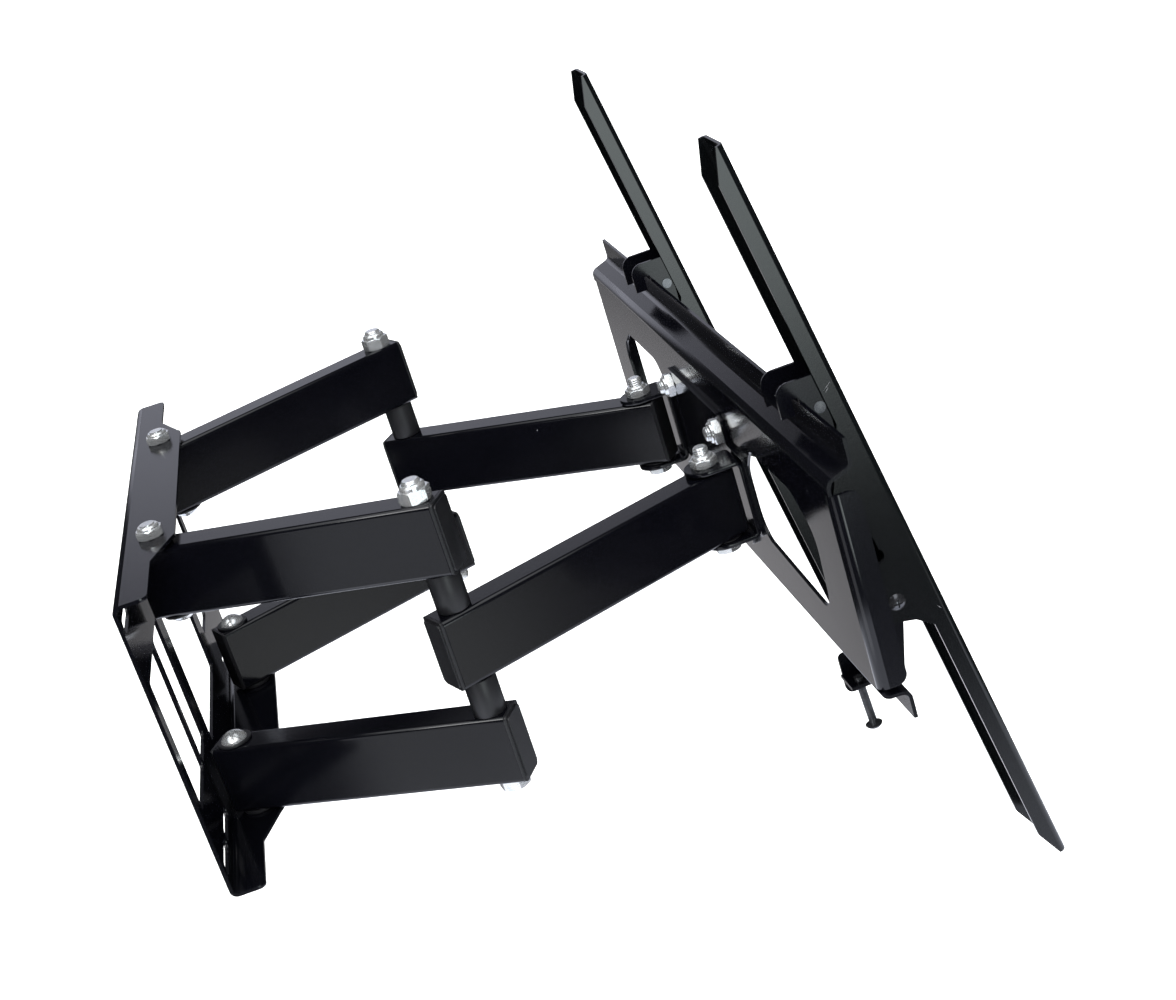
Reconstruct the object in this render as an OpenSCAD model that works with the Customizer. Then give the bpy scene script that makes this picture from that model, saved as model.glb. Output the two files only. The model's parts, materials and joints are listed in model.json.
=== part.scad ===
// Full-motion wall mount for a television: a slotted wall plate, two pairs of folding tube arms,
// two single forearms, a wide carrier plate and two upright TV bars that hook onto it and tilt.
// Millimetres. Origin at the middle of the wall plate's back face, +Z up, -Y out from the wall.
// "near" is the -X side and "far" is the +X side.

/* [Wall plate] */
// Width of the wall plate
plate_w = 430; // [424:1:480]
// Height of the wall plate over its two flanges
plate_h = 215; // [213:1:240]
// Sheet thickness of the wall plate
plate_t = 2.5; // [2:0.5:3]
// Inner radius of the wall plate's bends
plate_bend_r = 3; // [2:0.5:4]
// Depth of the flanges at their narrow ends
flange_end_d = 23.5; // [18:0.5:26]
// Depth of the flanges where the arms pivot
flange_mid_d = 39; // [35:0.5:44]
// Half width of the deep middle of a flange
flange_mid_half = 118.5; // [116:0.5:126]
// Run of the slanted step between the two depths
flange_step_run = 35.5; // [20:0.5:40]
// Distance of the shoulder bolts from the wall
shoulder_y = 23; // [21:0.5:25]
// Half distance between the two shoulder axes
shoulder_half = 105.5; // [96:0.5:108]
// Half width of the central window
window_mid_half = 66; // [40:1:72]
// Half height of the central window
window_mid_half_h = 64; // [40:1:70]
// Width of the broad upright beside the central window
upright_broad_w = 24; // [14:1:26]
// Width of the middle side window
window_side_w = 43; // [20:1:44]
// Width of the slim upright between the side windows
upright_slim_w = 6; // [5:1:8]
// Width of the outer side window
window_outer_w = 62; // [20:1:64]
// Half height of the side windows
window_side_half_h = 47; // [30:1:60]
// Corner radius of the windows
window_r = 3; // [1:0.5:6]
// Distance of the inner wall slots from the middle
wall_slot_inner_x = 143; // [125:1:146]
// Distance of the outer wall slots from the middle
wall_slot_outer_x = 188.5; // [187:0.5:190]
// Distance of the wall slots from the upper and lower edges
wall_slot_inset = 17.5; // [15:0.5:30]
// End to end length of a wall slot
wall_slot_len = 40; // [20:1:41]
// Width of a wall slot
wall_slot_w = 9; // [7:0.5:10]

/* [Arms] */
// Shoulder to elbow distance
arm_len = 194; // [190:1:200]
// Elbow to wrist distance
forearm_len = 208; // [204:1:214]
// Height of the arm tubes
tube_h = 50; // [46:1:50]
// Width of the arm tubes
tube_w = 25; // [23:0.5:26]
// Wall thickness of the tubes
tube_wall = 2; // [1.5:0.25:2.5]
// Outer corner radius of the tubes
tube_r = 3; // [2.5:0.5:4]
// Reach of an arm past its elbow axis
arm_elbow_reach = 12.5; // [12:0.5:16]
// Reach of a forearm past its elbow axis
forearm_elbow_reach = 16; // [13:0.5:18]
// Reach of a tube past a shoulder or wrist axis
plate_reach = 12.5; // [11.5:0.5:12.5]
// Thickness of the washers between arms and flanges
shoulder_washer_t = 2.6; // [2:0.1:3.4]
// Outer diameter of the elbow spacers
spacer_d = 22.5; // [20:0.5:24]
// Angle of the near arm out from straight ahead
near_arm_angle = 26.6; // [24:0.1:29]
// Angle of the near forearm in from straight ahead
near_forearm_angle = 23.3; // [21:0.1:26]
// Turn of the head about the upright axis
head_swivel = 2.6; // [0:0.1:4]

/* [End caps] */
// Thickness of an end cap's rim
cap_rim_t = 2; // [1.5:0.25:2]
// Height of the raised panel on an elbow cap
cap_panel_t = 1.2; // [0.8:0.2:1.6]
// Margin between the rim's outline and the raised panel
cap_panel_margin = 2; // [1.5:0.25:3]
// Depth of a cap's plug inside its tube
cap_plug_depth = 5; // [3:0.5:5]
// Wall thickness of a cap's plug
cap_plug_wall = 1.6; // [1.2:0.2:2]

/* [Wrist brackets and head plate] */
// Distance between the two wrist axes
wrist_spacing = 187; // [184:1:190]
// Distance from a wrist axis to the carrier's face
wrist_depth = 25.5; // [25.5:0.25:28]
// Width of a wrist bracket
bracket_w = 30; // [28:1:32]
// Sheet thickness of the wrist brackets
bracket_t = 3; // [2.5:0.5:3]
// Inner radius of the wrist brackets' bends
bracket_bend_r = 2; // [1:0.5:3]
// Thickness of the wrist washers
wrist_washer_t = 1; // [0.8:0.1:1.4]
// Thickness of the head plate
head_t = 3; // [2.5:0.5:3]
// Width of the tall middle of the head plate
head_mid_w = 144; // [140:1:150]
// Height of the tall middle of the head plate
head_mid_h = 102; // [98:1:108]
// Corner radius of the head plate
head_r = 8; // [5:0.5:10]
// Half distance between the head plate's bolts across
head_bolt_x = 63.5; // [58:0.5:64]
// Half distance between the head plate's bolts upright
head_bolt_z = 38.5; // [37.5:0.5:41]

/* [Carrier plate] */
// Width of the carrier plate
carrier_w = 612; // [600:2:640]
// Sheet thickness of the carrier plate
carrier_t = 2.5; // [2:0.5:2.5]
// Inner radius of the carrier plate's bends
carrier_bend_r = 4; // [2:0.5:4]
// Height of the face's top corner
face_top = 77; // [75:0.5:79]
// Depth of the face's bottom corner below the middle
face_bottom = 70.5; // [68:0.5:72]
// Depth of the carrier from its face to its lips
carrier_d = 19; // [18:0.5:19]
// Rise of the top flange from the face to the lip
flange_rise = 4.5; // [2:0.5:6]
// Height of the upper lip's edge above the middle
lip_top = 99.5; // [97:0.5:101]
// Reach of the lower lip's edge below the middle
lip_bottom = 89; // [86:0.5:90]
// Upper end of the side flanges
side_top = 67; // [60:0.5:68]
// Lower end of the side flanges below the middle
side_bottom = 64; // [58:0.5:64]
// Corner radius of the side flanges
side_r = 7; // [4:0.5:9]
// Distance of an opening's inner edge from the middle
opening_inner = 101; // [95:1:110]
// Distance of an opening's outer edge from the middle
opening_outer = 246; // [220:1:260]
// Upper edge of the openings
opening_top = 41; // [36:0.5:46]
// Lower edge of the openings below the middle
opening_bottom = 36.5; // [32:0.5:42]
// Corner radius of the openings
opening_r = 20; // [12:1:24]
// Drop of an opening's upper inner corner
opening_pinch_top = 12; // [0:0.5:14]
// Rise of an opening's lower inner corner
opening_pinch_low = 5.5; // [0:0.5:12]

/* [TV bars] */
// Length of a TV bar
bar_len = 545; // [530:1:560]
// Width of a TV bar
bar_w = 38; // [38:0.5:42]
// Sheet thickness of a TV bar
bar_t = 2; // [1.5:0.5:2]
// Inner radius of a TV bar's bends
bar_bend_r = 2; // [1:0.5:2.5]
// Depth of a bar's flanges along its length
bar_d = 13; // [11:0.5:14]
// Depth of a bar's flanges at the tilt axis
bar_wide_d = 36.5; // [35:0.5:38]
// Upper end of the wide part above the bar's middle
bar_wide_up = 48; // [40:1:60]
// Lower end of the wide part below the bar's middle
bar_wide_down = 55; // [52:1:64]
// Length of the slanted taper at the bar's ends
bar_taper = 21; // [10:1:30]
// Distance between the round holes of a bar
hole_pitch = 50; // [50:1:50]
// Diameter of the round holes of a bar
hole_d = 8.6; // [6:0.2:9]
// Length of the slots between the round holes
bar_slot_len = 26; // [14:1:28]
// Tilt of the near bar from upright
near_bar_tilt = 10.9; // [4:0.1:11.3]
// Tilt of the far bar from upright
far_bar_tilt = 10.6; // [4:0.1:11.3]
// Distance of the near bar from the carrier's near end
near_bar_inset = 90; // [60:1:120]
// Distance of the far bar from the carrier's far end
far_bar_inset = 156.5; // [60:0.5:180]

/* [Hook brackets] */
// Width of a hook bracket
hook_w = 33; // [28:0.5:33]
// Sheet thickness of a hook bracket
hook_t = 2.5; // [2:0.5:3]
// Height of the hooks' tops above the lip's edge
hook_over = 16; // [15:0.5:20]
// Radius of the hooks' shoulders
hook_r = 9; // [6:0.5:10]
// Reach of a hook's nose below the lip's edge
hook_nose_drop = 5.5; // [3:0.5:8]
// Distance of a hook's nose from the face plane
hook_nose_in = 2.7; // [1:0.1:4]
// Thickness of a hook's nose
hook_nose_w = 8.8; // [6:0.1:9]
// Depth of the hook bracket's back from the face plane
hook_back = 33; // [31:0.5:33]
// Depth of the tilt axis from the face plane
tilt_depth = 42.8; // [42:0.2:46]
// Drop of the tilt axis below the middle
tilt_drop = 47.4; // [44:0.2:50]
// Distance from the tilt axis to the bar's outer face
tilt_to_face = 28.7; // [28:0.1:30]
// Drop of the tilt axis below the bar's middle, along the bar
tilt_along = 43; // [40:0.5:46]
// Reach of the far cheek's tongue below the middle
tongue_drop = 115; // [112:0.5:118]
// Drop of the lock screw's tab below the middle
lock_drop = 103; // [101:0.5:104]
// Depth of the lock screw from the face plane at its tab
lock_depth = 10.7; // [10:0.1:11.5]
// Lean of the lock screw from upright
lock_lean = 3.7; // [0:0.1:4]
// Length of the lock screw under its head
lock_screw_len = 37; // [34:0.5:40]
// Length of the lock screw that shows below its tab
lock_screw_out = 31.5; // [28:0.5:32]

/* [Fasteners] */
// Diameter of the elbow bolts
elbow_bolt_d = 12; // [10:0.5:12]
// Width across flats of the elbow nuts
elbow_nut_af = 19; // [17:0.5:20]
// Diameter of the shoulder and wrist bolts
pivot_bolt_d = 10; // [8:0.5:10]
// Width across flats of the shoulder and wrist nuts
pivot_nut_af = 17; // [15:0.5:17]
// Diameter of the head plate's bolts
head_bolt_d = 10; // [8:0.5:10]
// Width across flats of the head plate's nuts
head_nut_af = 17; // [15:0.5:17]
// Diameter of the tilt screws
tilt_screw_d = 6; // [5:0.5:7]
// Diameter of the lock screws
lock_screw_d = 5.5; // [4:0.5:6]
// Diameter of the hook brackets' cross pins
cross_pin_d = 4; // [3:0.5:5]

/* [Clearances] */
// Radial gap between a bolt and its hole
fit_gap = 0.05; // [0.03:0.01:0.08]
// Gap along the axis between parts that turn on each other
run_gap = 0.2; // [0.15:0.05:0.3]
// Gap between a hook bracket and the lips it slides on
slide_gap = 0.3; // [0.2:0.05:0.4]
// Radial play of the far wrist bolt in the far forearm
wrist_play = 1; // [0.9:0.05:1.2]

/* [Hidden] */
$fn = 64;
eps = 0.01;
black_paint = [0.09, 0.09, 0.1];
black_plastic = [0.05, 0.05, 0.055];
zinc = [0.72, 0.74, 0.76];

// Heights of the stack: forearm in the middle, a spacer, an arm, a washer and the flange
forearm_top = tube_h / 2;
spacer_len = plate_h / 2 - plate_t - shoulder_washer_t - tube_h - forearm_top - 4 * run_gap;
arm_bottom = forearm_top + spacer_len + 2 * run_gap;
arm_top = arm_bottom + tube_h;

// Plan positions of the pivots, from the angles of the near side and the turn of the head
function heading(a) = [sin(a), -cos(a)];
near_shoulder = [-shoulder_half, -shoulder_y];
far_shoulder = [shoulder_half, -shoulder_y];
near_elbow = near_shoulder + arm_len * heading(-near_arm_angle);
near_wrist = near_elbow + forearm_len * heading(near_forearm_angle);
far_wrist = near_wrist + wrist_spacing * [cos(head_swivel), sin(head_swivel)];
far_span = far_wrist - far_shoulder;
far_reach = norm(far_span);
far_arm_angle = atan2(far_span[0], -far_span[1])
    + acos((arm_len ^ 2 + far_reach ^ 2 - forearm_len ^ 2) / (2 * arm_len * far_reach));
far_elbow = far_shoulder + arm_len * heading(far_arm_angle);
far_forearm_run = far_wrist - far_elbow;
far_forearm_angle = atan2(far_forearm_run[0], -far_forearm_run[1]);
head_centre = (near_wrist + far_wrist) / 2;

// Radii and heights of the fasteners
elbow_bolt_r = elbow_bolt_d / 2;
pivot_bolt_r = pivot_bolt_d / 2;
head_bolt_r = head_bolt_d / 2;
tilt_screw_r = tilt_screw_d / 2;
lock_screw_r = lock_screw_d / 2;
cross_pin_r = cross_pin_d / 2;
head_washer_t = 1.5;
head_h_ratio = 0.6;
nut_h_ratio = 0.8;
elbow_nut_h_ratio = 1;
washer_r_ratio = 2.4;

// Wrist bracket: inner and outer heights of its ears
wrist_inner = forearm_top + wrist_washer_t + 2 * run_gap;
wrist_outer = wrist_inner + bracket_t;

// Tilt screw: outer faces of the hook bracket and the bar, and the bars' places across the carrier
near_bar_x = near_bar_inset - carrier_w / 2;
far_bar_x = carrier_w / 2 - far_bar_inset;
bar_half = bar_w / 2;
hook_half = hook_w / 2;

// One arm along -Y from its first pivot, placed in plan
module along(pivot, angle) {
    translate([pivot[0], pivot[1], 0]) rotate([0, 0, angle]) children();
}

// Head coordinates: wrist axes on y = 0, TV side towards -Y
module in_head() {
    translate([head_centre[0], head_centre[1], 0]) rotate([0, 0, head_swivel]) children();
}

// Carrier coordinates: depth from the face plane runs towards -Y
module in_carrier() {
    in_head() translate([0, -wrist_depth, 0]) children();
}

// Rectangle with true round corners
module round_rect(w, h, r) {
    square([w - 2 * r, h], center = true);
    square([w, h - 2 * r], center = true);
    for (x = [-1, 1], y = [-1, 1]) translate([x * (w / 2 - r), y * (h / 2 - r)]) circle(r);
}

// Convex outline with equal true round corners about the given centres, counter-clockwise
module round_polygon(centres, r) {
    n = len(centres);
    polygon([
        for (i = [0:n - 1])
            let (a = centres[i], b = centres[(i + 1) % n], u = (b - a) / norm(b - a))
            each [a + r * [u[1], -u[0]], b + r * [u[1], -u[0]]]
    ]);
    for (c = centres) translate(c) circle(r);
}

// Slot with round ends, along x
module slot(length, width) {
    square([length - width, width], center = true);
    for (x = [-1, 1]) translate([x * (length - width) / 2, 0]) circle(width / 2);
}

// Section of a folded sheet: a path of flat runs with true arcs at its bends
module folded_section(path, t, inner_r) {
    n = len(path);
    rc = inner_r + t / 2;
    dirs = [for (i = [0:n - 2]) (path[i + 1] - path[i]) / norm(path[i + 1] - path[i])];
    turns = [for (i = [0:n - 1]) i == 0 || i == n - 1 ? 0
        : atan2(dirs[i - 1][0] * dirs[i][1] - dirs[i - 1][1] * dirs[i][0], dirs[i - 1] * dirs[i])];
    cuts = [for (a = turns) rc * tan(abs(a) / 2)];
    for (i = [0:n - 2]) {
        u = dirs[i];
        side = [-u[1], u[0]] * t / 2;
        a = path[i] + u * (cuts[i] - eps);
        b = path[i + 1] - u * (cuts[i + 1] - eps);
        polygon([a + side, a - side, b - side, b + side]);
    }
    for (i = [1:n - 2]) {
        hand = turns[i] > 0 ? 1 : -1;
        u = dirs[i - 1];
        v = dirs[i];
        start = path[i] - u * cuts[i];
        centre = start + hand * rc * [-u[1], u[0]];
        wide = 2 * (rc + t);
        tip = (path[i] - centre) / norm(path[i] - centre);
        intersection() {
            translate(centre) difference() {
                circle(rc + t / 2);
                circle(rc - t / 2);
            }
            polygon([
                centre,
                centre - hand * wide * [-u[1], u[0]],
                centre + 2 * wide * tip,
                centre - hand * wide * [-v[1], v[0]]
            ]);
        }
    }
}

// Lock nut on z = 0: a hexagon with chamfered corners, a round collar above and a bore for its bolt
module hex_nut(af, bolt_r, h_ratio = nut_h_ratio) {
    h = h_ratio * 2 * bolt_r;
    hex_h = h * 0.72;
    corner = af / 2 / cos(30);
    chamfer = corner - af / 2;
    collar_r = af * 0.44;
    soft = bolt_r * 0.2;
    difference() {
        union() {
            intersection() {
                cylinder(h = hex_h, r = corner, $fn = 6);
                rotate_extrude() polygon([
                    [0, 0], [af / 2, 0], [corner, chamfer * 0.6], [corner, hex_h - chamfer * 0.6],
                    [af / 2, hex_h], [0, hex_h]
                ]);
            }
            rotate_extrude() polygon([
                [0, hex_h / 2], [collar_r, hex_h / 2], [collar_r, h - soft], [collar_r - soft, h], [0, h]
            ]);
        }
        translate([0, 0, -1]) cylinder(h = h + 2, r = bolt_r + fit_gap);
    }
}

// Flat washer on z = 0
module washer(t, bolt_r, outer_r) {
    difference() {
        cylinder(h = t, r = outer_r);
        translate([0, 0, -1]) cylinder(h = t + 2, r = bolt_r + fit_gap);
    }
}

// Screw with a domed cross-recess head: the head sits on z = 0, the shank runs down
module pan_screw(bolt_r, length, head_r) {
    head_h = head_h_ratio * 2 * bolt_r;
    dome_r = (head_r ^ 2 + head_h ^ 2) / (2 * head_h);
    recess = bolt_r * 0.34;
    difference() {
        union() {
            translate([0, 0, -length]) cylinder(h = length + eps, r = bolt_r);
            intersection() {
                cylinder(h = head_h, r = head_r);
                translate([0, 0, head_h - dome_r]) sphere(dome_r);
            }
        }
        for (a = [0, 90]) rotate([0, 0, a])
            translate([-bolt_r, -recess / 2, head_h * 0.45]) cube([2 * bolt_r, recess, head_h]);
    }
}

// Hexagon bolt: the head sits on z = 0, the shank runs down and ends in a chamfer
module hex_bolt(af, bolt_r, length) {
    head_h = head_h_ratio * 2 * bolt_r;
    corner = af / 2 / cos(30);
    chamfer = corner - af / 2;
    union() {
        intersection() {
            cylinder(h = head_h, r = corner, $fn = 6);
            rotate_extrude() polygon([
                [0, 0], [corner, 0], [corner, head_h - chamfer * 0.6], [af / 2, head_h], [0, head_h]
            ]);
        }
        rotate_extrude() polygon([
            [0, eps], [bolt_r, eps], [bolt_r, 1 - length], [bolt_r - 1, -length], [0, -length]
        ]);
    }
}

// Wall plate: one folded channel with deeper flanges where the arms pivot
module flange_outline() {
    mid = flange_mid_half;
    step = flange_mid_half + flange_step_run;
    end = plate_w / 2;
    soft = 5;
    difference() {
        translate([-end, -flange_mid_d]) square([plate_w, flange_mid_d + 1]);
        for (s = [0, 1]) mirror([s, 0]) {
            polygon([
                [mid - soft, -flange_mid_d - 1], [mid - soft / 2, -flange_mid_d],
                [mid + soft / 2, soft / 2 - flange_mid_d], [step, -flange_end_d],
                [end + 1, -flange_end_d], [end + 1, -flange_mid_d - 1]
            ]);
            difference() {
                translate([end - soft, -flange_end_d - 1]) square([soft + 1, soft + 1]);
                translate([end - soft, soft - flange_end_d]) circle(soft);
            }
        }
    }
}

module wall_window(x, w, half_h) {
    translate([x, 0]) round_rect(w, 2 * half_h, window_r);
}

module wall_plate() {
    side_x = window_mid_half + upright_broad_w + window_side_w / 2;
    outer_x = side_x + window_side_w / 2 + upright_slim_w + window_outer_w / 2;
    half_t = plate_t / 2;
    edge = plate_h / 2 - half_t;
    color(black_paint) difference() {
        intersection() {
            translate([-plate_w / 2, 0, 0]) rotate([90, 0, 90]) linear_extrude(plate_w) folded_section([
                [-flange_mid_d - 2, edge], [-half_t, edge], [-half_t, -edge], [-flange_mid_d - 2, -edge]
            ], plate_t, plate_bend_r);
            translate([0, 0, -plate_h / 2 - 1]) linear_extrude(plate_h + 2) flange_outline();
        }
        rotate([90, 0, 0]) translate([0, 0, -1]) linear_extrude(plate_t + 2) {
            wall_window(0, 2 * window_mid_half, window_mid_half_h);
            for (s = [-1, 1]) {
                wall_window(s * side_x, window_side_w, window_side_half_h);
                wall_window(s * outer_x, window_outer_w, window_side_half_h);
            }
            for (sx = [-1, 1], sz = [-1, 1], x = [wall_slot_inner_x, wall_slot_outer_x])
                translate([sx * x, sz * (plate_h / 2 - wall_slot_inset)]) slot(wall_slot_len, wall_slot_w);
        }
        for (p = [near_shoulder, far_shoulder]) translate([p[0], p[1], -plate_h / 2 - 1])
            cylinder(h = plate_h + 2, r = pivot_bolt_r + fit_gap);
    }
}

// Everything at a shoulder comes four times: above and below, near and far
module at_shoulders() {
    for (p = [near_shoulder, far_shoulder], up = [0, 1])
        translate([p[0], p[1], 0]) mirror([0, 0, 1 - up]) children();
}

module shoulder_bolts() {
    seat = arm_bottom - run_gap - head_washer_t;
    tail = nut_h_ratio * pivot_bolt_d + 1;
    color(zinc) at_shoulders() translate([0, 0, seat]) mirror([0, 0, 1])
        pan_screw(pivot_bolt_r, plate_h / 2 - seat + tail, pivot_bolt_r * 1.9);
}

module shoulder_nuts() {
    color(zinc) at_shoulders() translate([0, 0, plate_h / 2]) hex_nut(pivot_nut_af, pivot_bolt_r);
}

module shoulder_washers() {
    color(black_plastic) at_shoulders() {
        translate([0, 0, arm_top + run_gap])
            washer(shoulder_washer_t, pivot_bolt_r, pivot_bolt_r * washer_r_ratio);
        translate([0, 0, arm_bottom - run_gap - head_washer_t])
            washer(head_washer_t, pivot_bolt_r, pivot_bolt_r * washer_r_ratio);
    }
}

// Tube along -Y from its first pivot: bore_a and bore_b are the hole radii at its two pivots
module arm_tube(length, reach_a, reach_b, bore_a, bore_b) {
    color(black_paint) difference() {
        translate([0, reach_a, 0]) rotate([90, 0, 0]) linear_extrude(length + reach_a + reach_b)
            difference() {
                round_rect(tube_w, tube_h, tube_r);
                round_rect(tube_w - 2 * tube_wall, tube_h - 2 * tube_wall, tube_r - tube_wall + 0.5);
            }
        translate([0, 0, -tube_h]) cylinder(h = 2 * tube_h, r = bore_a);
        translate([0, -length, -tube_h]) cylinder(h = 2 * tube_h, r = bore_b);
    }
}

// End cap on a tube whose mouth is at y = reach, facing +Y; raised adds the outer panel
module end_cap(reach, raised) {
    inner_w = tube_w - 2 * tube_wall - 2 * run_gap;
    inner_h = tube_h - 2 * tube_wall - 2 * run_gap;
    plug_r = tube_r - tube_wall + 0.5;
    color(black_plastic) union() {
        intersection() {
            translate([0, reach + cap_rim_t, 0]) rotate([90, 0, 0]) linear_extrude(cap_rim_t)
                round_rect(tube_w, tube_h, tube_r);
            translate([0, 0, -tube_h]) linear_extrude(2 * tube_h) polygon([
                [-tube_w / 2, reach - 1], [tube_w / 2, reach - 1], [tube_w / 2, reach + (raised ? 1.2 : 0)],
                [tube_w / 2 - (raised ? 0.8 : 2), reach + cap_rim_t],
                [(raised ? 0.8 : 2) - tube_w / 2, reach + cap_rim_t], [-tube_w / 2, reach + (raised ? 1.2 : 0)]
            ]);
        }
        if (raised) translate([0, reach + cap_rim_t + cap_panel_t, 0]) rotate([90, 0, 0])
            linear_extrude(cap_panel_t + eps)
            round_rect(tube_w - 2 * cap_panel_margin, tube_h - 2 * cap_panel_margin, tube_r);
        translate([0, reach + eps, 0]) rotate([90, 0, 0]) linear_extrude(cap_plug_depth) difference() {
            round_rect(inner_w, inner_h, plug_r);
            round_rect(inner_w - 2 * cap_plug_wall, inner_h - 2 * cap_plug_wall, 0.5);
        }
    }
}

bolt_hole = pivot_bolt_r + fit_gap;
elbow_hole = elbow_bolt_r + fit_gap;

module near_arm_place(up) {
    along(near_shoulder, -near_arm_angle) translate([0, 0, up * (arm_bottom + tube_h / 2)]) children();
}

module far_arm_place(up) {
    along(far_shoulder, far_arm_angle) translate([0, 0, up * (arm_bottom + tube_h / 2)]) children();
}

module arm() {
    arm_tube(arm_len, plate_reach, arm_elbow_reach, bolt_hole, elbow_hole);
}

module elbow_end_cap(length) {
    translate([0, -length, 0]) mirror([0, 1, 0]) end_cap(arm_elbow_reach, true);
}

module near_upper_arm() near_arm_place(1) arm();
module near_lower_arm() near_arm_place(-1) arm();
module far_upper_arm() far_arm_place(1) arm();
module far_lower_arm() far_arm_place(-1) arm();
module near_upper_arm_wall_cap() near_arm_place(1) end_cap(plate_reach, false);
module near_lower_arm_wall_cap() near_arm_place(-1) end_cap(plate_reach, false);
module far_upper_arm_wall_cap() far_arm_place(1) end_cap(plate_reach, false);
module far_lower_arm_wall_cap() far_arm_place(-1) end_cap(plate_reach, false);
module near_upper_arm_elbow_cap() near_arm_place(1) elbow_end_cap(arm_len);
module near_lower_arm_elbow_cap() near_arm_place(-1) elbow_end_cap(arm_len);
module far_upper_arm_elbow_cap() far_arm_place(1) elbow_end_cap(arm_len);
module far_lower_arm_elbow_cap() far_arm_place(-1) elbow_end_cap(arm_len);

// Forearms: the far one has play at its wrist
module near_forearm() along(near_elbow, near_forearm_angle)
    arm_tube(forearm_len, forearm_elbow_reach, plate_reach, elbow_hole, bolt_hole);
module far_forearm() along(far_elbow, far_forearm_angle)
    arm_tube(forearm_len, forearm_elbow_reach, plate_reach, elbow_hole, bolt_hole + wrist_play);
module near_forearm_elbow_cap() along(near_elbow, near_forearm_angle) end_cap(forearm_elbow_reach, true);
module far_forearm_elbow_cap() along(far_elbow, far_forearm_angle) end_cap(forearm_elbow_reach, true);
module wrist_end_cap() {
    translate([0, -forearm_len, 0]) mirror([0, 1, 0]) end_cap(plate_reach, false);
}
module near_forearm_wrist_cap() along(near_elbow, near_forearm_angle) wrist_end_cap();
module far_forearm_wrist_cap() along(far_elbow, far_forearm_angle) wrist_end_cap();

// Elbow stack: a long bolt from below, spacers above and below the forearm, a nut on top
module elbow_spacers() {
    color(black_plastic) for (up = [0, 1]) mirror([0, 0, 1 - up])
        translate([0, 0, arm_bottom - spacer_len]) washer(spacer_len, elbow_bolt_r, spacer_d / 2);
}

module elbow_bolt() {
    tail = elbow_nut_h_ratio * elbow_bolt_d + 2.6;
    color(zinc) translate([0, 0, -arm_top]) mirror([0, 0, 1])
        hex_bolt(elbow_nut_af, elbow_bolt_r, 2 * arm_top + tail);
}

module elbow_nut() {
    color(zinc) translate([0, 0, arm_top]) hex_nut(elbow_nut_af, elbow_bolt_r, elbow_nut_h_ratio);
}

module near_elbow_spacers() along(near_elbow, 0) elbow_spacers();
module far_elbow_spacers() along(far_elbow, 0) elbow_spacers();
module near_elbow_bolt() along(near_elbow, 12) elbow_bolt();
module far_elbow_bolt() along(far_elbow, 50) elbow_bolt();
module near_elbow_nut() along(near_elbow, 40) elbow_nut();
module far_elbow_nut() along(far_elbow, 22) elbow_nut();

// Wrist bracket: a folded U whose ears end in a half round about the wrist axis
module wrist_bracket() {
    web = wrist_depth - head_t - bracket_t / 2;
    edge = wrist_outer - bracket_t / 2;
    color(black_paint) difference() {
        intersection() {
            translate([-bracket_w / 2, 0, 0]) rotate([90, 0, 90]) linear_extrude(bracket_w)
                folded_section([
                    [bracket_w, edge], [-web, edge], [-web, -edge], [bracket_w, -edge]
                ], bracket_t, bracket_bend_r);
            translate([0, 0, -wrist_outer - 1]) linear_extrude(2 * wrist_outer + 2) {
                circle(bracket_w / 2);
                translate([-bracket_w / 2, -wrist_depth]) square([bracket_w, wrist_depth]);
            }
        }
        translate([0, 0, -wrist_outer - 1]) cylinder(h = 2 * wrist_outer + 2, r = bolt_hole);
    }
}

module at_wrists() {
    in_head() for (s = [-1, 1]) translate([s * wrist_spacing / 2, 0, 0]) children();
}

module near_wrist_bracket() in_head() translate([-wrist_spacing / 2, 0, 0]) wrist_bracket();
module far_wrist_bracket() in_head() translate([wrist_spacing / 2, 0, 0]) wrist_bracket();

module wrist_bolts() {
    tail = nut_h_ratio * pivot_bolt_d + 6;
    color(zinc) at_wrists() translate([0, 0, -wrist_outer]) mirror([0, 0, 1])
        hex_bolt(pivot_nut_af, pivot_bolt_r, 2 * wrist_outer + tail);
}

module wrist_nuts() {
    color(zinc) at_wrists() translate([0, 0, wrist_outer]) rotate([0, 0, 15])
        hex_nut(pivot_nut_af, pivot_bolt_r);
}

module wrist_washers() {
    color(black_plastic) at_wrists() for (up = [0, 1]) mirror([0, 0, 1 - up])
        translate([0, 0, forearm_top + run_gap])
        washer(wrist_washer_t, pivot_bolt_r, pivot_bolt_r * washer_r_ratio);
}

// Head plate: tall middle with two low wings that carry the wrist brackets
module head_plate() {
    wing_w = wrist_spacing + bracket_w;
    color(black_paint) in_carrier() rotate([90, 0, 0]) translate([0, 0, -head_t])
        linear_extrude(head_t) difference() {
            union() {
                round_rect(head_mid_w, head_mid_h, head_r);
                round_rect(wing_w, 2 * wrist_outer, 2);
            }
            for (x = [-1, 1], z = [-1, 1]) translate([x * head_bolt_x, z * head_bolt_z])
                circle(head_bolt_r + fit_gap);
        }
}

module at_head_bolts() {
    in_carrier() for (x = [-1, 1], z = [-1, 1])
        translate([x * head_bolt_x, 0, z * head_bolt_z]) rotate([-90, 0, 0]) children();
}

module head_plate_bolts() {
    tail = nut_h_ratio * head_bolt_d + 3;
    color(zinc) at_head_bolts() translate([0, 0, -carrier_t]) mirror([0, 0, 1])
        hex_bolt(head_nut_af, head_bolt_r, carrier_t + head_t + tail);
}

module head_plate_nuts() {
    color(zinc) at_head_bolts() translate([0, 0, head_t]) rotate([0, 0, 10])
        hex_nut(head_nut_af, head_bolt_r);
}

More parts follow.
